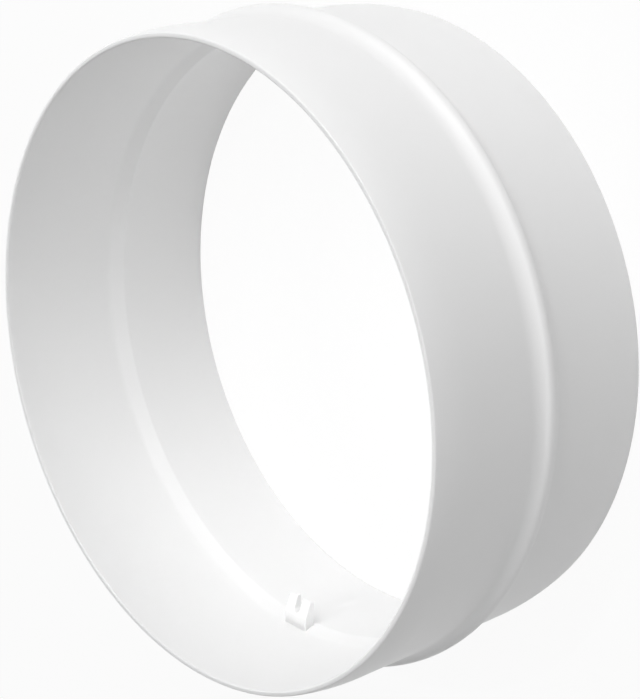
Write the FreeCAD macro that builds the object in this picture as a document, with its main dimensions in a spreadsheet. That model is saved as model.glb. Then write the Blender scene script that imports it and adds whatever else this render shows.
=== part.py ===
import FreeCAD, Part

"""Round duct connector, moulded in one piece.

Frame: millimetres, +Z up along the duct axis, origin at the centre of the lower end.
The part stands on its lower end. The seat step inside faces the upper end.
"""
import math
import os

import Sketcher

SHEET = "Sizes"

# Driving dimensions: name, value, meaning
SIZES = [
    ("overall_length", 61.4, "length along the duct axis, end to end"),
    ("land_radius", 74.5, "outer radius of the straight spigots"),
    ("lead_in_length", 9.0, "length of the curved lead-in at each end"),
    ("lead_in_drop", 1.0, "how much smaller the radius is at each end"),
    ("bead_level", 30.7, "height of the crest of the stop bead above the lower end"),
    ("bead_height", 2.2, "how far the stop bead stands out of the spigots"),
    ("bead_crest_radius", 1.6, "rounding of the bead along its crest"),
    ("bead_foot_radius", 4.0, "hollow rounding at both feet of the bead"),
    ("upper_wall", 2.2, "wall from the straight spigot to the straight upper bore"),
    ("lower_wall", 1.95, "wall from the straight spigot to the tapered lower bore at the lower end"),
    ("throat_level", 26.9, "height of the edge of the seat above the lower end"),
    ("seat_height", 1.3, "how far the edge of the seat stands in from the upper bore"),
    ("seat_length", 6.9, "length of the hollow slope of the seat along the axis"),
    ("mouth_chamfer", 0.4, "size of the broken edge round each mouth"),
    ("lug_level", 29.0, "height of the middle of the lugs above the lower end"),
    ("lug_width", 7.4, "size of a lug across the slot"),
    ("lug_thickness", 2.8, "size of a lug along the duct axis"),
    ("lug_height", 6.4, "how far a lug stands in from the edge of the seat"),
    ("lug_corner_radius", 1.0, "rounding of the outer corners of a lug"),
    ("slot_width", 1.8, "width of the axle slot in a lug"),
    ("slot_depth", 3.7, "depth of the axle slot from the tip of a lug"),
    ("lug_lean_height", 4.4, "length of the leaning part of a lug's front, from the tip"),
    ("lug_lean_depth", 1.7, "how far the front of a lug leans back at the tip"),
]

# Fixed count: an axle has a lug at each of its two ends
LUG_COUNT = 2

# How far the cut for the leaning front stands over both sides of a lug
CUT_OVERHANG = 1.0

# Degrees once round the duct axis
FULL_TURN = 360.0

# Largest gap between the wanted and the found height or radius of a rim edge
EDGE_MATCH = 1e-4


def make_sheet(doc):
    """Writes the driving dimensions into a spreadsheet.

    Args:
        doc: Document that gets the sheet.

    Returns:
        Dictionary of each size by its name, for starting points of sketches.
    """
    sheet = doc.addObject("Spreadsheet::Sheet", SHEET)
    for row, (name, value, meaning) in enumerate(SIZES, start=1):
        sheet.set(f"A{row}", name)
        sheet.set(f"B{row}", str(value))
        sheet.set(f"C{row}", meaning)
        sheet.setAlias(f"B{row}", name)
    doc.recompute()
    return {name: float(sheet.get(name)) for name, _, _ in SIZES}


def size(name):
    """Gives the expression for one size of the sheet.

    Args:
        name: Alias of the cell.

    Returns:
        Text for use in an expression.
    """
    return f"<<{SHEET}>>.{name}"


# Radii that the sketches use, as expressions over the sheet
LOWER_MOUTH = f"{size('land_radius')} - {size('lower_wall')}"
UPPER_MOUTH = f"{size('land_radius')} - {size('upper_wall')}"
THROAT = f"{UPPER_MOUTH} - {size('seat_height')}"
LUG_TIP = f"{THROAT} - {size('lug_height')}"
INSIDE_WALL = f"{size('land_radius')} - {size('lower_wall')} / 2"
CREST_CENTRE = f"{size('land_radius')} + {size('bead_height')} - {size('bead_crest_radius')}"


def origin_part(body, role):
    """Finds a plane or an axis of a body's own origin.

    Args:
        body: Body that owns the origin.
        role: Role name, such as XZ_Plane or Z_Axis.

    Returns:
        The origin feature with that role.
    """
    return next(feature for feature in body.Origin.OriginFeatures if feature.Role == role)


def new_sketch(body, name, role):
    """Adds an empty sketch on a plane of the body's origin.

    Args:
        body: Body that gets the sketch.
        name: Name of the sketch.
        role: Role name of the plane.

    Returns:
        The sketch.
    """
    sketch = body.newObject("Sketcher::SketchObject", name)
    sketch.AttachmentSupport = [(origin_part(body, role), "")]
    sketch.MapMode = "FlatFace"
    return sketch


class Outline:
    """Draws a closed chain of lines and arcs in a sketch and ties its points to the sheet."""

    def __init__(self, sketch):
        """Starts an outline.

        Args:
            sketch: Sketch that is drawn in.
        """
        self.sketch = sketch
        self.chain = []

    def line(self, start, end):
        """Adds a line.

        Args:
            start: First point as (x, y).
            end: Last point as (x, y).

        Returns:
            Index of the line.
        """
        shape = Part.LineSegment(FreeCAD.Vector(*start, 0), FreeCAD.Vector(*end, 0))
        index = self.sketch.addGeometry(shape, False)
        self.chain.append((index, 1, 2))
        return index

    def arc(self, centre, radius, start, end, clockwise=False):
        """Adds an arc between two points.

        Args:
            centre: Centre as (x, y).
            radius: Radius.
            start: First point of the chain as (x, y).
            end: Last point of the chain as (x, y).
            clockwise: Whether the chain runs clockwise along the arc.

        Returns:
            Index of the arc.
        """
        circle = Part.Circle(FreeCAD.Vector(*centre, 0), FreeCAD.Vector(0, 0, 1), radius)
        angles = [math.atan2(point[1] - centre[1], point[0] - centre[0]) for point in (start, end)]
        if clockwise:
            angles.reverse()
        index = self.sketch.addGeometry(Part.ArcOfCircle(circle, angles[0], angles[1]), False)
        self.chain.append((index, 2, 1) if clockwise else (index, 1, 2))
        return index

    def close(self, tangent=()):
        """Joins the pieces end to end.

        Args:
            tangent: Positions in the chain of the joints that are smooth, counted from the first piece.
        """
        for place, (index, _, last) in enumerate(self.chain):
            following, first, _ = self.chain[(place + 1) % len(self.chain)]
            kind = "Tangent" if place in tangent else "Coincident"
            self.sketch.addConstraint(Sketcher.Constraint(kind, index, last, following, first))

    def upright(self, *lines):
        """Keeps lines upright in the sketch.

        Args:
            lines: Indices of the lines.
        """
        for index in lines:
            self.sketch.addConstraint(Sketcher.Constraint("Vertical", index))

    def level(self, *lines):
        """Keeps lines level in the sketch.

        Args:
            lines: Indices of the lines.
        """
        for index in lines:
            self.sketch.addConstraint(Sketcher.Constraint("Horizontal", index))

    def place(self, index, point, across=None, up=None):
        """Ties a point's distances from the sketch origin to the sheet.

        Args:
            index: Index of the line or arc.
            point: 1 for its start, 2 for its end, 3 for its centre.
            across: Pair of starting value and expression for the first coordinate.
            up: Pair of starting value and expression for the second coordinate.
        """
        for kind, pair in (("DistanceX", across), ("DistanceY", up)):
            if pair is None:
                continue
            number = self.sketch.addConstraint(Sketcher.Constraint(kind, -1, 1, index, point, pair[0]))
            self.sketch.setExpression(f"Constraints[{number}]", pair[1])

    def on_axis(self, index, point):
        """Keeps a point on the sketch's first axis.

        Args:
            index: Index of the line or arc.
            point: 1 for its start, 2 for its end, 3 for its centre.
        """
        self.sketch.addConstraint(Sketcher.Constraint("PointOnObject", index, point, -1))

    def level_with_centre(self, index, point):
        """Keeps an end of an arc level with its centre, so that the arc runs into an upright wall smoothly.

        Args:
            index: Index of the arc.
            point: 1 for its start, 2 for its end.
        """
        self.sketch.addConstraint(Sketcher.Constraint("Horizontal", index, 3, index, point))

    def radius(self, index, value, expression):
        """Ties an arc's radius to the sheet.

        Args:
            index: Index of the arc.
            value: Starting value.
            expression: Expression over the sheet.
        """
        number = self.sketch.addConstraint(Sketcher.Constraint("Radius", index, value))
        self.sketch.setExpression(f"Constraints[{number}]", expression)


def draw_shell(sketch, s):
    """Draws half of the wall's section: spigots with lead-ins outside, bores and seat inside.

    The first axis is the radius and the second axis the height. Each lead-in is an arc that leaves the
    straight spigot smoothly and ends on the rim. The seat is a hollow arc that leaves the upper bore
    smoothly and ends at the throat.

    Args:
        sketch: Sketch on the XZ plane.
        s: Sizes by name.
    """
    land_radius = s["land_radius"]
    end_radius = land_radius - s["lead_in_drop"]
    top = s["overall_length"]
    lead = s["lead_in_length"]
    lead_radius = (lead ** 2 + s["lead_in_drop"] ** 2) / (2 * s["lead_in_drop"])
    lead_centre = land_radius - lead_radius
    lower_mouth = land_radius - s["lower_wall"]
    upper_mouth = land_radius - s["upper_wall"]
    seat_top = s["throat_level"] + s["seat_length"]
    throat = (upper_mouth - s["seat_height"], s["throat_level"])
    hollow = (s["seat_length"] ** 2 + s["seat_height"] ** 2) / (2 * s["seat_height"])
    hollow_centre = (upper_mouth - hollow, seat_top)

    outline = Outline(sketch)
    lower_rim = outline.line((lower_mouth, 0), (end_radius, 0))
    lower_lead = outline.arc((lead_centre, lead), lead_radius, (end_radius, 0), (land_radius, lead))
    land = outline.line((land_radius, lead), (land_radius, top - lead))
    upper_lead = outline.arc((lead_centre, top - lead), lead_radius,
                             (land_radius, top - lead), (end_radius, top))
    upper_rim = outline.line((end_radius, top), (upper_mouth, top))
    upper_bore = outline.line((upper_mouth, top), (upper_mouth, seat_top))
    outline.arc(hollow_centre, hollow, (upper_mouth, seat_top), throat, True)
    lower_bore = outline.line(throat, (lower_mouth, 0))
    outline.close(tangent=(1, 2, 5))
    outline.upright(land, upper_bore)
    outline.level(lower_rim, upper_rim)

    end_text = f"{size('land_radius')} - {size('lead_in_drop')}"
    outline.on_axis(lower_rim, 1)
    outline.place(lower_rim, 1, across=(lower_mouth, LOWER_MOUTH))
    outline.place(lower_lead, 1, across=(end_radius, end_text))
    outline.place(land, 1, (land_radius, size("land_radius")), (lead, size("lead_in_length")))
    outline.place(land, 2, up=(top - lead, f"{size('overall_length')} - {size('lead_in_length')}"))
    outline.place(upper_lead, 2, (end_radius, end_text), (top, size("overall_length")))
    outline.place(upper_bore, 2, (upper_mouth, UPPER_MOUTH),
                  (seat_top, f"{size('throat_level')} + {size('seat_length')}"))
    outline.place(lower_bore, 1, (throat[0], THROAT), (throat[1], size("throat_level")))


def draw_bead(sketch, s):
    """Draws half of the bead's section: a round crest with a hollow foot on each side.

    The three arcs run into each other and into the spigot smoothly, so the half width follows from the two
    radii and the height: both radii together, turned until they have sunk by the height.

    Args:
        sketch: Sketch on the XZ plane.
        s: Sizes by name.
    """
    middle = s["bead_level"]
    crest = s["bead_crest_radius"]
    foot = s["bead_foot_radius"]
    reach = crest + foot
    half_width = math.sqrt(reach ** 2 - (reach - s["bead_height"]) ** 2)
    crest_centre = (s["land_radius"] + s["bead_height"] - crest, middle)
    foot_across = s["land_radius"] + foot
    share = crest / reach
    joint_across = crest_centre[0] + share * (foot_across - crest_centre[0])
    sunk = s["land_radius"] - s["lower_wall"] / 2

    outline = Outline(sketch)
    lower = (s["land_radius"], middle - half_width)
    upper = (s["land_radius"], middle + half_width)
    lower_joint = (joint_across, middle - share * half_width)
    upper_joint = (joint_across, middle + share * half_width)
    bottom_edge = outline.line((sunk, lower[1]), lower)
    lower_foot = outline.arc((foot_across, lower[1]), foot, lower, lower_joint, True)
    crest_arc = outline.arc(crest_centre, crest, lower_joint, upper_joint)
    upper_foot = outline.arc((foot_across, upper[1]), foot, upper_joint, upper, True)
    top_edge = outline.line(upper, (sunk, upper[1]))
    back = outline.line((sunk, upper[1]), (sunk, lower[1]))
    outline.close(tangent=(1, 2))
    outline.level(bottom_edge, top_edge)
    outline.upright(back)

    outline.place(bottom_edge, 1, across=(sunk, INSIDE_WALL))
    outline.place(bottom_edge, 2, across=(s["land_radius"], size("land_radius")))
    outline.place(top_edge, 1, across=(s["land_radius"], size("land_radius")))
    outline.place(crest_arc, 3, (crest_centre[0], CREST_CENTRE), (middle, size("bead_level")))
    outline.radius(crest_arc, crest, size("bead_crest_radius"))
    for arc, end in ((lower_foot, 2), (upper_foot, 1)):
        outline.radius(arc, foot, size("bead_foot_radius"))
        outline.level_with_centre(arc, end)


def draw_lug(sketch, s):
    """Draws the outline of a lug seen along the duct axis: a fork with a round slot, open towards the axis.

    Args:
        sketch: Sketch parallel to the XY plane.
        s: Sizes by name.
    """
    root = s["land_radius"] - s["lower_wall"] / 2
    tip = s["land_radius"] - s["upper_wall"] - s["seat_height"] - s["lug_height"]
    half = s["lug_width"] / 2
    corner = s["lug_corner_radius"]
    gap = s["slot_width"] / 2
    floor = tip + s["slot_depth"] - gap
    half_text = f"{size('lug_width')} / 2"
    gap_text = f"{size('slot_width')} / 2"

    outline = Outline(sketch)
    back = outline.line((root, -half), (root, half))
    upper_side = outline.line((root, half), (tip + corner, half))
    upper_corner = outline.arc((tip + corner, half - corner), corner,
                               (tip + corner, half), (tip, half - corner))
    upper_tip = outline.line((tip, half - corner), (tip, gap))
    upper_slot = outline.line((tip, gap), (floor, gap))
    slot_end = outline.arc((floor, 0), gap, (floor, gap), (floor, -gap), True)
    lower_slot = outline.line((floor, -gap), (tip, -gap))
    lower_tip = outline.line((tip, -gap), (tip, corner - half))
    lower_corner = outline.arc((tip + corner, corner - half), corner,
                               (tip, corner - half), (tip + corner, -half))
    lower_side = outline.line((tip + corner, -half), (root, -half))
    outline.close(tangent=(1, 2, 4, 5, 7, 8))
    outline.upright(back, upper_tip, lower_tip)
    outline.level(upper_side, lower_side)

    outline.place(back, 1, (root, INSIDE_WALL), (-half, f"-{half_text}"))
    outline.place(back, 2, up=(half, half_text))
    outline.place(upper_tip, 2, across=(tip, LUG_TIP))
    outline.place(lower_tip, 1, across=(tip, LUG_TIP))
    for arc in (upper_corner, lower_corner):
        outline.radius(arc, corner, size("lug_corner_radius"))
    outline.place(slot_end, 3, across=(floor, f"{LUG_TIP} + {size('slot_depth')} - {gap_text}"))
    outline.on_axis(slot_end, 3)
    outline.radius(slot_end, gap, gap_text)
    outline.level(upper_slot, lower_slot)


def draw_lean(sketch, s):
    """Draws what is cut off the upper front of a lug: a triangle beside the tip, seen across the slot.

    Args:
        sketch: Sketch on the XZ plane.
        s: Sizes by name.
    """
    tip = s["land_radius"] - s["upper_wall"] - s["seat_height"] - s["lug_height"]
    start = tip + s["lug_lean_height"]
    front = s["lug_level"] + s["lug_thickness"] / 2
    back = front - s["lug_lean_depth"]
    front_text = f"{size('lug_level')} + {size('lug_thickness')} / 2"

    outline = Outline(sketch)
    front_edge = outline.line((start, front), (tip, front))
    tip_edge = outline.line((tip, front), (tip, back))
    outline.line((tip, back), (start, front))
    outline.close()
    outline.level(front_edge)
    outline.upright(tip_edge)
    outline.place(front_edge, 1, (start, f"{LUG_TIP} + {size('lug_lean_height')}"), (front, front_text))
    outline.place(tip_edge, 2, (tip, LUG_TIP), (back, f"{front_text} - {size('lug_lean_depth')}"))


def revolve(body, name, sketch):
    """Turns a section once round the duct axis.

    Args:
        body: Body that gets the feature.
        name: Name of the feature.
        sketch: Section to turn.

    Returns:
        The feature.
    """
    feature = body.newObject("PartDesign::Revolution", name)
    feature.Profile = sketch
    feature.ReferenceAxis = (origin_part(body, "Z_Axis"), [""])
    feature.Angle = FULL_TURN
    sketch.Visibility = False
    return feature


def mouth_edges(shape, top, radii):
    """Finds the inner rim edges of the wall.

    Args:
        shape: Shape of the wall.
        top: Height of the upper end.
        radii: Radii of the lower and the upper bore at their ends.

    Returns:
        Names of the two circles where the bores meet the end planes.
    """
    wanted = ((0.0, radii[0]), (top, radii[1]))
    names = []
    for number, edge in enumerate(shape.Edges, start=1):
        if not isinstance(edge.Curve, Part.Circle):
            continue
        found = (edge.Curve.Center.z, edge.Curve.Radius)
        if any(math.dist(found, pair) < EDGE_MATCH for pair in wanted):
            names.append(f"Edge{number}")
    return names


def check(doc):
    """Stops the build when a feature has failed.

    Args:
        doc: Document to look through.
    """
    for item in doc.Objects:
        if "Invalid" in item.State or "Error" in item.State:
            raise RuntimeError(f"{item.Name} failed: {item.State}")
        if item.isDerivedFrom("PartDesign::Feature") and (item.Shape.isNull() or not item.Shape.isValid()):
            raise RuntimeError(f"{item.Name} has no valid shape")


def build():
    """Builds the connector and writes it out."""
    os.makedirs("parts", exist_ok=True)
    doc = FreeCAD.newDocument("DuctConnector")
    s = make_sheet(doc)
    body = doc.addObject("PartDesign::Body", "connector_body")
    body.Label = "connector_body"

    shell_sketch = new_sketch(body, "ShellSection", "XZ_Plane")
    draw_shell(shell_sketch, s)
    shell = revolve(body, "Shell", shell_sketch)
    doc.recompute()
    volumes = [shell.Shape.Volume]

    bead_sketch = new_sketch(body, "BeadSection", "XZ_Plane")
    draw_bead(bead_sketch, s)
    bead = revolve(body, "Bead", bead_sketch)
    doc.recompute()
    volumes.append(bead.Shape.Volume)

    mouths = body.newObject("PartDesign::Chamfer", "MouthChamfer")
    bores = (s["land_radius"] - s["lower_wall"], s["land_radius"] - s["upper_wall"])
    mouths.Base = (bead, mouth_edges(bead.Shape, s["overall_length"], bores))
    mouths.Size = s["mouth_chamfer"]
    mouths.setExpression("Size", size("mouth_chamfer"))
    doc.recompute()
    volumes.append(mouths.Shape.Volume)

    lug_sketch = new_sketch(body, "LugOutline", "XY_Plane")
    lug_sketch.setExpression("AttachmentOffset.Base.z", f"{size('lug_level')} - {size('lug_thickness')} / 2")
    draw_lug(lug_sketch, s)
    lug = body.newObject("PartDesign::Pad", "AxleLug")
    lug.Profile = lug_sketch
    lug.Length = s["lug_thickness"]
    lug.setExpression("Length", size("lug_thickness"))
    lug_sketch.Visibility = False
    doc.recompute()
    volumes.append(lug.Shape.Volume)

    lean_sketch = new_sketch(body, "LeanOutline", "XZ_Plane")
    draw_lean(lean_sketch, s)
    lean = body.newObject("PartDesign::Pocket", "LugLean")
    lean.Profile = lean_sketch
    lean.SideType = "Symmetric"
    lean.setExpression("Length", f"{size('lug_width')} + 2 * {CUT_OVERHANG}")
    lean_sketch.Visibility = False
    doc.recompute()
    volumes.append(lean.Shape.Volume)

    lugs = body.newObject("PartDesign::PolarPattern", "AxleLugs")
    lugs.Originals = [lug, lean]
    lugs.Axis = (origin_part(body, "Z_Axis"), [""])
    lugs.Angle = FULL_TURN
    lugs.Occurrences = LUG_COUNT
    body.Tip = lugs
    doc.recompute()
    volumes.append(body.Shape.Volume)

    check(doc)
    shell_volume, bead_volume, mouth_volume, lug_volume, lean_volume, full_volume = volumes
    if not (shell_volume < bead_volume > mouth_volume < lug_volume > lean_volume < full_volume):
        raise RuntimeError(f"a feature changed nothing: {volumes}")
    if len(body.Shape.Solids) != 1:
        raise RuntimeError("the connector is not one solid")
    body.Shape.exportStep("parts/connector_body.step")
    box = body.Shape.BoundBox
    print("volumes", [round(volume, 2) for volume in volumes])
    print("box", round(box.XLength, 3), round(box.YLength, 3), round(box.ZMin, 4), round(box.ZMax, 3))


build()
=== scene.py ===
"""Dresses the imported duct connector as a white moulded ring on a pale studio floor.

Sizes in the classes are millimetres, and meshes are written in metres.
"""

import logging
import math
from dataclasses import dataclass
from enum import Enum
from typing import Any

import bpy
import numpy as np
from mathutils import Matrix, Vector


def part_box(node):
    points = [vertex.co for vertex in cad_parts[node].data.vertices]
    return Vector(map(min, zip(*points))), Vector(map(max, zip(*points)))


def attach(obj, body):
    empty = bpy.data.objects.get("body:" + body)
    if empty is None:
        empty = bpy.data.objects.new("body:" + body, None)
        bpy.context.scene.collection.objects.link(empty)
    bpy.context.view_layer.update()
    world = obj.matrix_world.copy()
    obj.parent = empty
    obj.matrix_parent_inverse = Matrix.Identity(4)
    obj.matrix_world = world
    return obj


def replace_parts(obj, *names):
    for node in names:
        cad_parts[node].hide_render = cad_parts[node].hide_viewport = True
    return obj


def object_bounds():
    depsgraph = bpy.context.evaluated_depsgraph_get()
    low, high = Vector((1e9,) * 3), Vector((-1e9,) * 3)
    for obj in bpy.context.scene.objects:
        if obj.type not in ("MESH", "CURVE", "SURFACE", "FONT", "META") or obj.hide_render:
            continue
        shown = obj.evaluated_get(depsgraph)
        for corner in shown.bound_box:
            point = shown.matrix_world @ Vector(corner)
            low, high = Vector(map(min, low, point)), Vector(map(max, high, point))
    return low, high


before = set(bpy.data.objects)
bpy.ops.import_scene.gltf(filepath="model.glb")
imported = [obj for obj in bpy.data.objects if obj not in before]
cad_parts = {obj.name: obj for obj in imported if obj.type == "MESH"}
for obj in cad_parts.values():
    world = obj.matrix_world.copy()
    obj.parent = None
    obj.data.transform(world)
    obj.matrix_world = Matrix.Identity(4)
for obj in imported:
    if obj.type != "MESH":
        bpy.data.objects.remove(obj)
CAD_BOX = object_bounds()

NODE = "connector_body"
BODY = "root"
METRE = 0.001
IMAGE_WIDTH = 640
IMAGE_HEIGHT = 699
WHITE = (1.0, 1.0, 1.0, 1.0)
QUARTER = math.pi / 2

# Stretches along the parts of a section
EDGE_STEPS = 8
LEAD_IN_STEPS = 14
FOOT_STEPS = 12
CREST_STEPS = 24
HOLLOW_STEPS = 12
SLOT_STEPS = 18
SHORT_RUN_STEPS = 6
LONG_RUN_STEPS = 12

# Numbers of a Mix node's sockets for colours, and the middle of a noise pattern
MIX_FACTOR = 0
MIX_FIRST = 6
MIX_SECOND = 7
MIX_RESULT = 2
NOISE_MIDDLE = 0.5

log = logging.getLogger("duct_connector")

Array = np.ndarray
Point = tuple[float, float]


class End(Enum):
    """The two ends of the duct connector."""

    LOWER = "lower"
    UPPER = "upper"


def straight(first: Point, last: Point, steps: int) -> Array:
    """Gives evenly spaced points from one point to another.

    Args:
        first: First point.
        last: Last point.
        steps: Number of stretches.

    Returns:
        Points as rows of two numbers.
    """
    share = np.linspace(0.0, 1.0, steps + 1)[:, None]
    return (1 - share) * np.array(first) + share * np.array(last)


def arc(centre: Point, radius: float, first: float, last: float, steps: int) -> Array:
    """Gives points along a circle: centre + radius * (cos t, sin t), with t evenly spaced.

    Args:
        centre: Centre of the circle.
        radius: Its radius.
        first: Angle of the first point.
        last: Angle of the last point.
        steps: Number of stretches.

    Returns:
        Points as rows of two numbers.
    """
    angle = np.linspace(first, last, steps + 1)
    return np.array(centre) + radius * np.column_stack((np.cos(angle), np.sin(angle)))


def grid_faces(rows: int, columns: int, close_rows: bool) -> Array:
    """Gives the quads of a grid whose columns close on themselves, turned to face out of the surface.

    Args:
        rows: Number of rows.
        columns: Number of points in a row.
        close_rows: Whether the last row joins the first.

    Returns:
        Vertex numbers, four to a row.
    """
    number = np.arange(rows * columns).reshape(rows, columns)
    here = number if close_rows else number[:-1]
    above = np.roll(number, -1, axis=0) if close_rows else number[1:]
    corners = (here, np.roll(here, -1, axis=1), np.roll(above, -1, axis=1), above)
    return np.stack(corners, axis=-1).reshape(-1, 4)


def towards(azimuth: float, elevation: float) -> Vector:
    """Gives the direction from the object to a place round it.

    Args:
        azimuth: Degrees round the duct axis, 0 from -Y and 90 from +X.
        elevation: Degrees above the floor.

    Returns:
        The direction, one unit long.
    """
    turn = math.radians(azimuth)
    rise = math.radians(elevation)
    return Vector((math.sin(turn) * math.cos(rise), -math.cos(turn) * math.cos(rise), math.sin(rise)))


def make_piece(name: str, points: Array, faces: list[list[int]],
               material: bpy.types.Material) -> bpy.types.Object:
    """Makes a smooth mesh piece that rides on the part's body.

    Args:
        name: Name of the piece.
        points: Vertices in millimetres, three numbers to a row.
        faces: Vertex numbers of each face.
        material: Finish of the piece.

    Returns:
        The new object.
    """
    mesh = bpy.data.meshes.new(name)
    mesh.from_pydata((points * METRE).tolist(), [], faces)
    mesh.polygons.foreach_set("use_smooth", np.ones(len(faces), dtype=bool))
    mesh.update()
    mesh.validate()
    mesh.materials.append(material)
    piece = bpy.data.objects.new(name, mesh)
    bpy.context.scene.collection.objects.link(piece)
    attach(piece, BODY)
    log.info("piece %s: %d vertices, %d faces", name, len(points), len(faces))
    return piece


class Wire:
    """One output socket, whose arithmetic adds Math nodes."""

    def __init__(self, sheet: "NodeSheet", socket: bpy.types.NodeSocket) -> None:
        """Keeps the socket and the sheet that it is on.

        Args:
            sheet: Sheet of nodes that the socket belongs to.
            socket: The output socket.
        """
        self.sheet = sheet
        self.socket = socket

    def __add__(self, other: "Wire | float") -> "Wire":
        """Adds."""
        return self.sheet.math("ADD", self, other)

    def __radd__(self, other: float) -> "Wire":
        """Adds to a number."""
        return self.sheet.math("ADD", other, self)

    def __sub__(self, other: "Wire | float") -> "Wire":
        """Subtracts."""
        return self.sheet.math("SUBTRACT", self, other)

    def __rsub__(self, other: float) -> "Wire":
        """Subtracts from a number."""
        return self.sheet.math("SUBTRACT", other, self)

    def __mul__(self, other: "Wire | float") -> "Wire":
        """Multiplies."""
        return self.sheet.math("MULTIPLY", self, other)

    def __rmul__(self, other: float) -> "Wire":
        """Multiplies a number."""
        return self.sheet.math("MULTIPLY", other, self)


class NodeSheet:
    """The nodes of one material or of the world."""

    def __init__(self, tree: bpy.types.NodeTree) -> None:
        """Empties a node tree and keeps it.

        Args:
            tree: Node tree that is written.
        """
        self.tree = tree
        tree.nodes.clear()

    def node(self, kind: str, settings: dict[str, Any], sockets: dict[str | int, Any]) -> bpy.types.Node:
        """Adds a node, sets its settings and then fills its sockets.

        Args:
            kind: Blender's name for the type of node.
            settings: Properties of the node by name.
            sockets: Values or wires by the name or number of an input.

        Returns:
            The node.
        """
        node = self.tree.nodes.new(kind)
        for name, value in settings.items():
            setattr(node, name, value)
        for key, value in sockets.items():
            if isinstance(value, Wire):
                self.tree.links.new(value.socket, node.inputs[key])
            else:
                node.inputs[key].default_value = value
        return node

    def wire(self, node: bpy.types.Node, output: str | int = 0) -> Wire:
        """Wraps one output of a node."""
        return Wire(self, node.outputs[output])

    def math(self, operation: str, first: Wire | float, second: Wire | float) -> Wire:
        """Adds a Math node.

        Args:
            operation: Blender's name of the operation.
            first: First operand.
            second: Second operand.

        Returns:
            The result.
        """
        return self.wire(self.node("ShaderNodeMath", {"operation": operation}, {0: first, 1: second}))


@dataclass(frozen=True)
class MouldedPlastic:
    """Finish of a white satin moulding.

    The colour drifts a little over wide patches, the sheen varies with the mould's polish, and a fine grain
    breaks it up. Scales are patches per metre.
    """

    colour: tuple[float, float, float] = (0.86, 0.86, 0.86)
    drift_colour: tuple[float, float, float] = (0.845, 0.845, 0.845)
    drift_scale: float = 28.0
    drift_detail: float = 2.0
    polish_scale: float = 420.0
    polish_detail: float = 3.0
    grain_scale: float = 2600.0
    grain_detail: float = 2.0
    sheen_roughness: float = 0.42
    roughness_swing: float = 0.08
    grain_depth: float = 0.004
    grain_strength: float = 0.25
    refraction: float = 1.49

    def material(self) -> bpy.types.Material:
        """Makes the material.

        Returns:
            The material, with all patterns on Object coordinates.
        """
        material = bpy.data.materials.new("moulded_plastic")
        material.use_nodes = True
        sheet = NodeSheet(material.node_tree)
        place = sheet.wire(sheet.node("ShaderNodeTexCoord", {}, {}), "Object")
        drift = self.noise(sheet, place, self.drift_scale, self.drift_detail)
        polish = self.noise(sheet, place, self.polish_scale, self.polish_detail)
        grain = self.noise(sheet, place, self.grain_scale, self.grain_detail)
        tint = sheet.node("ShaderNodeMix", {"data_type": "RGBA"}, {
            MIX_FACTOR: drift,
            MIX_FIRST: (*self.colour, 1.0),
            MIX_SECOND: (*self.drift_colour, 1.0),
        })
        roughness = self.sheen_roughness + (polish - NOISE_MIDDLE) * self.roughness_swing
        bump = sheet.node("ShaderNodeBump", {}, {
            "Strength": self.grain_strength,
            "Distance": self.grain_depth * METRE,
            "Height": grain,
        })
        shader = sheet.node("ShaderNodeBsdfPrincipled", {}, {
            "Base Color": sheet.wire(tint, MIX_RESULT),
            "Roughness": roughness,
            "IOR": self.refraction,
            "Normal": sheet.wire(bump),
        })
        sheet.node("ShaderNodeOutputMaterial", {}, {"Surface": sheet.wire(shader)})
        return material

    @staticmethod
    def noise(sheet: NodeSheet, place: Wire, scale: float, detail: float) -> Wire:
        """Adds a noise pattern.

        Args:
            sheet: Sheet of nodes.
            place: Coordinates of the pattern.
            scale: Patches per metre.
            detail: Finer layers of the pattern.

        Returns:
            The pattern as a value round one half.
        """
        sockets = {"Vector": place, "Scale": scale, "Detail": detail}
        return sheet.wire(sheet.node("ShaderNodeTexNoise", {}, sockets))


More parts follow.
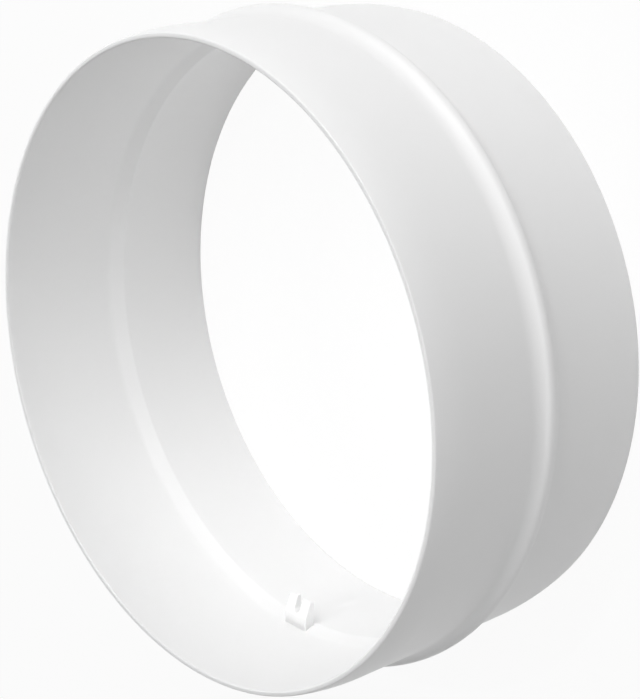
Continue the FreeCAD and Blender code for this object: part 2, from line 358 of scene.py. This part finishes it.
@dataclass
class ConnectorWall:
    """The ring itself: two spigots, the stop bead outside and the seat step inside.

    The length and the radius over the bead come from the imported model, and the other radii hang on them. The
    seat's face is straight with a short hollow above it, within 0.2 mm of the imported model's seat, so that
    light picks it out as an even band.
    """

    overall_length: float
    crest_radius: float
    lead_in_length: float = 9.0
    lead_in_drop: float = 1.0
    bead_level: float = 30.7
    bead_height: float = 2.2
    bead_crest_radius: float = 1.6
    bead_foot_radius: float = 4.0
    upper_wall: float = 2.2
    lower_wall: float = 1.95
    throat_level: float = 26.9
    seat_height: float = 1.3
    seat_face: float = 3.9
    seat_hollow: float = 4.5
    rim_rounding: float = 0.4
    mouth_rounding: float = 0.5
    throat_rounding: float = 1.5
    segments: int = 360

    @property
    def land_radius(self) -> float:
        """Outer radius of the straight spigots."""
        return self.crest_radius - self.bead_height

    @property
    def upper_bore(self) -> float:
        """Radius of the straight upper bore."""
        return self.land_radius - self.upper_wall

    @property
    def lower_mouth(self) -> float:
        """Radius of the lower bore at the lower end."""
        return self.land_radius - self.lower_wall

    @property
    def throat_radius(self) -> float:
        """Smallest inner radius, at the edge of the seat."""
        return self.upper_bore - self.seat_height

    @property
    def bead_half_width(self) -> float:
        """Half the bead's width over both feet."""
        reach = self.bead_crest_radius + self.bead_foot_radius
        return math.sqrt(reach ** 2 - (reach - self.bead_height) ** 2)

    def outer_half(self, end: End) -> Array:
        """Gives the outer section of one spigot, from the rim to the foot of the bead.

        The lead-in is an arc that leaves the straight spigot smoothly and would meet the end plane at the end
        radius; the rounding of the rim is the small circle inside it that also touches the end plane.

        Args:
            end: Which end.

        Returns:
            Points of radius and height, from the rim towards the bead.
        """
        lead_radius = (self.lead_in_length ** 2 + self.lead_in_drop ** 2) / (2 * self.lead_in_drop)
        lead_centre = self.land_radius - lead_radius
        reach = lead_radius - self.rim_rounding
        rise = self.lead_in_length - self.rim_rounding
        rim_centre = lead_centre + math.sqrt(reach ** 2 - rise ** 2)
        turn = -math.asin(rise / reach)
        edge = arc((rim_centre, self.rim_rounding), self.rim_rounding, -QUARTER, turn, EDGE_STEPS)
        lead = arc((lead_centre, self.lead_in_length), lead_radius, turn, 0.0, LEAD_IN_STEPS)
        depth = self.bead_level if end is End.LOWER else self.overall_length - self.bead_level
        foot = depth - self.bead_half_width
        land = straight((self.land_radius, self.lead_in_length), (self.land_radius, foot), SHORT_RUN_STEPS)
        half = np.concatenate((edge[:-1], lead[:-1], land[:-1]))
        if end is End.UPPER:
            half[:, 1] = self.overall_length - half[:, 1]
        return half

    def bead(self) -> Array:
        """Gives the bead's section from its lower foot to its upper foot.

        A round crest runs smoothly into a hollow foot on each side, and each foot runs smoothly into its
        spigot. The centres of crest and foot lie the sum of their radii apart, so the arcs touch.

        Returns:
            Points of radius and height.
        """
        half = self.bead_half_width
        reach = self.bead_crest_radius + self.bead_foot_radius
        turn = math.asin(half / reach)
        foot = self.land_radius + self.bead_foot_radius
        crest = (self.crest_radius - self.bead_crest_radius, self.bead_level)
        lower_foot = (foot, self.bead_level - half)
        upper_foot = (foot, self.bead_level + half)
        lower = arc(lower_foot, self.bead_foot_radius, math.pi, math.pi - turn, FOOT_STEPS)
        top = arc(crest, self.bead_crest_radius, -turn, turn, CREST_STEPS)
        upper = arc(upper_foot, self.bead_foot_radius, math.pi + turn, math.pi, FOOT_STEPS)
        return np.concatenate((lower[:-1], top[:-1], upper))

    def inner_side(self) -> Array:
        """Gives the inner section from the upper rim down to the lower rim.

        A straight bore runs through a hollow arc into the straight face of the seat; at the throat a small
        rounding turns it into the lower bore, which widens towards the lower end. Each arc touches the lines
        on both its sides, so its ends lie radius * tan(half the turn) from the corner that it rounds.

        Returns:
            Points of radius and height.
        """
        top = self.overall_length
        turn = math.atan2(self.seat_height, self.seat_face)
        seat_top = self.throat_level + self.seat_face + self.seat_hollow * math.tan(turn / 2)
        lean = math.atan2(self.lower_mouth - self.throat_radius, self.throat_level)
        cut = self.throat_rounding * math.tan((turn + lean) / 2)
        mouth = self.mouth_rounding
        upper_edge = arc((self.upper_bore + mouth, top - mouth), mouth, QUARTER, math.pi, EDGE_STEPS)
        bore = straight((self.upper_bore, top - mouth), (self.upper_bore, seat_top), LONG_RUN_STEPS)
        hollow_centre = (self.upper_bore - self.seat_hollow, seat_top)
        hollow = arc(hollow_centre, self.seat_hollow, 0.0, -turn, HOLLOW_STEPS)
        face_end = (self.throat_radius + cut * math.sin(turn), self.throat_level + cut * math.cos(turn))
        face = straight(tuple(hollow[-1]), face_end, SHORT_RUN_STEPS)
        edge_centre = (face_end[0] + self.throat_rounding * math.cos(turn),
                       face_end[1] - self.throat_rounding * math.sin(turn))
        edge = arc(edge_centre, self.throat_rounding, math.pi - turn, math.pi + lean, EDGE_STEPS)
        lower_centre = (self.lower_mouth + mouth, mouth)
        lower_edge = arc(lower_centre, mouth, math.pi + lean, 3 * QUARTER, EDGE_STEPS)
        taper = straight(tuple(edge[-1]), tuple(lower_edge[0]), LONG_RUN_STEPS)
        later = (bore, hollow, face, edge, taper, lower_edge)
        return np.concatenate((upper_edge, *(run[1:] for run in later)))

    def section(self) -> Array:
        """Gives the closed section, outside upwards and inside downwards.

        Returns:
            Points of radius and height, with no point twice.
        """
        lower = self.outer_half(End.LOWER)
        upper = self.outer_half(End.UPPER)
        return np.concatenate((lower, self.bead(), upper[::-1], self.inner_side()))

    def build(self, material: bpy.types.Material) -> bpy.types.Object:
        """Turns the section once round the duct axis: (r cos a, r sin a, z).

        Args:
            material: Finish of the ring.

        Returns:
            The piece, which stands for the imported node.
        """
        section = self.section()
        angle = np.linspace(0.0, 2 * math.pi, self.segments, endpoint=False)
        radius = section[:, 0:1]
        height = np.broadcast_to(section[:, 1:2], (len(section), self.segments))
        points = np.stack((radius * np.cos(angle), radius * np.sin(angle), height), axis=-1).reshape(-1, 3)
        faces = grid_faces(len(section), self.segments, close_rows=True)
        piece = make_piece("connector_wall", points, faces.tolist(), material)
        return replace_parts(piece, NODE)


@dataclass
class AxleLugs:
    """The two forked lugs inside the ring, which hold the ends of a flap's axle.

    The front of a lug, on the side of the upper end, leans back towards the tip.
    """

    wall: ConnectorWall
    level: float = 29.0
    width: float = 7.4
    thickness: float = 2.8
    height: float = 6.4
    corner_radius: float = 1.0
    slot_width: float = 1.8
    slot_depth: float = 3.7
    lean_height: float = 4.4
    lean_depth: float = 1.7
    edge_rounding: float = 0.25
    edge_segments: int = 4
    count: int = 2

    @property
    def tip(self) -> float:
        """Distance from the duct axis to the tips."""
        return self.wall.throat_radius - self.height

    def outline(self) -> Array:
        """Gives the outline of a fork that is open towards the duct axis, counter-clockwise.

        Straight stretches and arcs follow each other. The first two points are the root's corners, and the
        third and the last one are where the front starts to lean.

        Returns:
            Points in the plane across the duct axis.
        """
        root = self.wall.land_radius - self.wall.lower_wall / 2
        half = self.width / 2
        gap = self.slot_width / 2
        corner = self.corner_radius
        tip = self.tip
        floor = tip + self.slot_depth - gap
        return np.concatenate((
            [(root, -half), (root, half), (tip + self.lean_height, half)],
            arc((tip + corner, half - corner), corner, QUARTER, math.pi, EDGE_STEPS),
            [(tip, gap)],
            arc((floor, 0.0), gap, QUARTER, -QUARTER, SLOT_STEPS),
            [(tip, -gap)],
            arc((tip + corner, corner - half), corner, math.pi, 3 * QUARTER, EDGE_STEPS),
            [(tip + self.lean_height, -half)],
        ))

    def build(self, material: bpy.types.Material) -> bpy.types.Object:
        """Carries the outline along the duct axis, once for each lug, and rounds the edges.

        The back ring lies in one plane. A point of the front ring is set back by the lean's depth times its
        share of the way from the lean's start to the tip.

        Args:
            material: Finish of the lugs.

        Returns:
            The piece.
        """
        outline = self.outline()
        count = len(outline)
        share = (self.tip + self.lean_height - outline[:, 0]) / self.lean_height
        front = self.level + self.thickness / 2 - self.lean_depth * np.maximum(share, 0.0)
        back = np.full(count, self.level - self.thickness / 2)
        rings = [np.column_stack((outline, height)) for height in (back, front)]
        lug = np.concatenate(rings)
        sides = grid_faces(2, count, close_rows=False)
        number = np.arange(count)
        caps = [number[::-1], count + number[[0, 1, 2, -1]], count + number[2:]]
        all_points = []
        all_faces: list[list[int]] = []
        for place in range(self.count):
            spin = np.array(Matrix.Rotation(2 * math.pi * place / self.count, 3, "Z"))
            start = place * len(lug)
            all_points.append(lug @ spin.T)
            all_faces += (sides + start).tolist() + [(cap + start).tolist() for cap in caps]
        piece = make_piece("axle_lugs", np.concatenate(all_points), all_faces, material)
        self.round_edges(piece, outline)
        return piece

    def round_edges(self, piece: bpy.types.Object, outline: Array) -> None:
        """Marks the edges that a live bevel rounds.

        They are the rims of both rings apart from the root, and the edges along the duct axis at the mouth of
        the slot. An edge belongs to a rim when both its ends are on the same ring.

        Args:
            piece: The lugs.
            outline: Outline that both rings were made from.
        """
        mesh = piece.data
        pairs = np.empty(2 * len(mesh.edges), dtype=np.int32)
        mesh.edges.foreach_get("vertices", pairs)
        pairs = pairs.reshape(-1, 2) % (2 * len(outline))
        place = pairs % len(outline)
        is_front = pairs >= len(outline)
        across = outline[place]
        on_rim = is_front[:, 0] == is_front[:, 1]
        on_root = np.all(across[:, :, 0] > self.tip + self.lean_height, axis=1)
        at_mouth = np.all(np.isclose(across[:, :, 0], self.tip), axis=1)
        at_mouth &= np.all(np.isclose(np.abs(across[:, :, 1]), self.slot_width / 2), axis=1)
        rounded = (on_rim & ~on_root) | at_mouth
        weights = mesh.attributes.new("bevel_weight_edge", "FLOAT", "EDGE")
        weights.data.foreach_set("value", rounded.astype(np.float32))
        bevel = piece.modifiers.new("rounded_edges", "BEVEL")
        bevel.limit_method = "WEIGHT"
        bevel.width = self.edge_rounding * METRE
        bevel.segments = self.edge_segments
        bevel.harden_normals = True


@dataclass(frozen=True)
class PhotoCamera:
    """The camera at the photograph's place, in the part's frame."""

    eye: tuple[float, float, float] = (-133.161, 292.643, 295.176)
    azimuth: float = -153.3209
    elevation: float = 38.3675
    roll: float = -106.8991
    focal_pixels: float = 1818.67
    axis_pixel: tuple[float, float] = (279.573, 407.198)
    sensor: float = 36.0
    nearest: float = 10.0
    farthest: float = 20000.0

    def place(self) -> bpy.types.Object:
        """Makes the camera and gives it to the scene.

        The picture axis stands off the middle of the frame, because the photograph is cropped, so the lens is
        shifted by that distance over the longer side.

        Returns:
            The camera object.
        """
        back = towards(self.azimuth, self.elevation)
        level_right = Vector((0, 0, 1)).cross(back).normalized()
        right = Matrix.Rotation(math.radians(self.roll), 3, back) @ level_right
        up = back.cross(right)
        longer = max(IMAGE_WIDTH, IMAGE_HEIGHT)
        data = bpy.data.cameras.new("photo_camera")
        data.sensor_fit = "AUTO"
        data.sensor_width = self.sensor
        data.lens = self.focal_pixels * self.sensor / longer
        data.shift_x = (IMAGE_WIDTH / 2 - self.axis_pixel[0]) / longer
        data.shift_y = (self.axis_pixel[1] - IMAGE_HEIGHT / 2) / longer
        data.clip_start = self.nearest * METRE
        data.clip_end = self.farthest * METRE
        camera = bpy.data.objects.new("photo_camera", data)
        columns = Matrix((right, up, back)).transposed().to_4x4()
        camera.matrix_world = Matrix.Translation(Vector(self.eye) * METRE) @ columns
        bpy.context.scene.collection.objects.link(camera)
        bpy.context.scene.camera = camera
        return camera


def seen_by_camera(sheet: NodeSheet) -> Wire:
    """Gives 1 for rays from the camera, also by way of gloss or glass, and 0 for others.

    Args:
        sheet: Sheet of nodes.

    Returns:
        The value.
    """
    path = sheet.node("ShaderNodeLightPath", {}, {})
    kinds = [sheet.wire(path, name) for name in ("Is Camera Ray", "Is Glossy Ray", "Is Transmission Ray")]
    either = sheet.math("MAXIMUM", kinds[0], kinds[1])
    return sheet.math("MAXIMUM", either, kinds[2])


@dataclass(frozen=True)
class StudioFloor:
    """A pale floor that looks white to the camera and keeps part of the object's shadow."""

    half_width: float = 8000.0
    colour: tuple[float, float, float] = (0.9, 0.9, 0.9)
    white_share: float = 0.93

    def lay(self) -> bpy.types.Object:
        """Makes the floor.

        Returns:
            The floor, which is not part of the object.
        """
        reach = self.half_width * METRE
        corners = [(-reach, -reach, 0), (reach, -reach, 0), (reach, reach, 0), (-reach, reach, 0)]
        mesh = bpy.data.meshes.new("studio_floor")
        mesh.from_pydata(corners, [], [(0, 1, 2, 3)])
        mesh.materials.append(self.material())
        floor = bpy.data.objects.new("studio_floor", mesh)
        bpy.context.scene.collection.objects.link(floor)
        return floor

    def material(self) -> bpy.types.Material:
        """Makes the floor's material: matt paint, mixed with plain white for rays that the camera sees.

        Returns:
            The material.
        """
        material = bpy.data.materials.new("pale_floor")
        material.use_nodes = True
        sheet = NodeSheet(material.node_tree)
        seen = seen_by_camera(sheet) * self.white_share
        paint = sheet.node("ShaderNodeBsdfDiffuse", {}, {"Color": (*self.colour, 1.0)})
        white = sheet.node("ShaderNodeEmission", {}, {"Color": WHITE, "Strength": 1.0})
        mixed = sheet.node("ShaderNodeMixShader", {}, {0: seen, 1: sheet.wire(paint), 2: sheet.wire(white)})
        sheet.node("ShaderNodeOutputMaterial", {}, {"Surface": sheet.wire(mixed)})
        return material


def hang_lamp(data: bpy.types.Light, target: Vector, offset: Vector) -> bpy.types.Object:
    """Hangs a lamp so that it faces a point.

    Args:
        data: The lamp's settings.
        target: Point in metres that the lamp faces.
        offset: Way from that point to the lamp, in metres.

    Returns:
        The lamp object.
    """
    lamp = bpy.data.objects.new(data.name, data)
    facing = offset.to_track_quat("Z", "Y").to_matrix().to_4x4()
    lamp.matrix_world = Matrix.Translation(target + offset) @ facing
    bpy.context.scene.collection.objects.link(lamp)
    log.info("lamp %s", data.name)
    return lamp


@dataclass(frozen=True)
class Softbox:
    """A square soft lamp that points at the middle of the object."""

    name: str
    azimuth: float
    elevation: float
    brightness: float
    distance: float = 900.0
    width: float = 700.0

    def hang(self, target: Vector) -> bpy.types.Object:
        """Makes the lamp.

        The brightness is that of a white surface at the target that faces the lamp, which is the light on it
        over pi; a square lamp of power P gives about P / (pi * distance squared) of light there.

        Args:
            target: Point in metres that the lamp faces.

        Returns:
            The lamp object.
        """
        reach = self.distance * METRE
        data = bpy.data.lights.new(self.name, "AREA")
        data.shape = "SQUARE"
        data.size = self.width * METRE
        data.energy = self.brightness * math.pi ** 2 * reach ** 2
        return hang_lamp(data, target, towards(self.azimuth, self.elevation) * reach)


@dataclass(frozen=True)
class RingSpot:
    """A spot whose beam goes in at the upper end and lights the floor and the wall inside."""

    name: str
    azimuth: float
    elevation: float
    brightness: float
    beam_radius: float
    distance: float = 900.0
    softness: float = 0.25
    lamp_radius: float = 20.0

    def hang(self, target: Vector) -> bpy.types.Object:
        """Makes the lamp.

        The brightness is that of a white surface at the target that faces the lamp, which is the light on it
        over pi; a spot of power P gives P / (4 pi * distance squared) of light there.

        Args:
            target: Point in metres in the middle of the upper end.

        Returns:
            The lamp object.
        """
        reach = self.distance * METRE
        data = bpy.data.lights.new(self.name, "SPOT")
        data.energy = self.brightness * 4 * math.pi ** 2 * reach ** 2
        data.spot_size = 2 * math.atan(self.beam_radius / self.distance)
        data.spot_blend = self.softness
        data.shadow_soft_size = self.lamp_radius * METRE
        return hang_lamp(data, target, towards(self.azimuth, self.elevation) * reach)


@dataclass(frozen=True)
class StudioLight:
    """The studio light: softboxes round the object and two spots into the ring.

    The world is white to the camera and gives the object no light of its own, apart from its gloss.
    """

    boxes: tuple[Softbox, ...] = (
        Softbox("top_box", -90.0, 35.0, 0.54),
        Softbox("side_box", -120.0, 35.0, 0.3),
        Softbox("front_box", -180.0, 60.0, 0.21),
        Softbox("low_box", 120.0, 12.0, 0.2),
        Softbox("back_box", 0.0, 12.0, 0.4),
    )
    spots: tuple[RingSpot, ...] = (
        RingSpot("bore_spot", 0.0, 50.0, 0.45, beam_radius=50.0),
        RingSpot("seat_spot", -90.0, 75.0, 0.31, beam_radius=70.0),
    )

    def light(self, middle: Vector, mouth: Vector) -> None:
        """Sets the world and hangs the lamps.

        Args:
            middle: Point in metres that the softboxes face, the middle of the object.
            mouth: Point in metres that the spots face, the middle of the upper end.
        """
        world = bpy.data.worlds.new("studio")
        world.use_nodes = True
        sheet = NodeSheet(world.node_tree)
        back = sheet.node("ShaderNodeBackground", {}, {"Color": WHITE, "Strength": seen_by_camera(sheet)})
        sheet.node("ShaderNodeOutputWorld", {}, {"Surface": sheet.wire(back)})
        bpy.context.scene.world = world
        for box in self.boxes:
            box.hang(middle)
        for spot in self.spots:
            spot.hang(mouth)


def build_connector() -> list[bpy.types.Object]:
    """Builds the connector's pieces.

    Returns:
        The pieces.
    """
    low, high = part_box(NODE)
    span = high - low
    plastic = MouldedPlastic().material()
    wall = ConnectorWall(overall_length=span.z / METRE, crest_radius=min(span.x, span.y) / 2 / METRE)
    lugs = AxleLugs(wall)
    return [wall.build(plastic), lugs.build(plastic)]


def set_studio() -> None:
    """Lays the floor, places the camera and sets the light."""
    StudioFloor().lay()
    PhotoCamera().place()
    low, high = CAD_BOX
    middle = (low + high) / 2
    mouth = Vector((middle.x, middle.y, high.z))
    StudioLight().light(middle, mouth)
    bpy.context.scene.view_settings.view_transform = "Standard"


def main() -> None:
    """Builds the dressed connector and the studio round it."""
    logging.basicConfig(level=logging.INFO, format="%(message)s")
    pieces = build_connector()
    log.info("built %d pieces", len(pieces))
    set_studio()


if __name__ == "__main__":
    main()
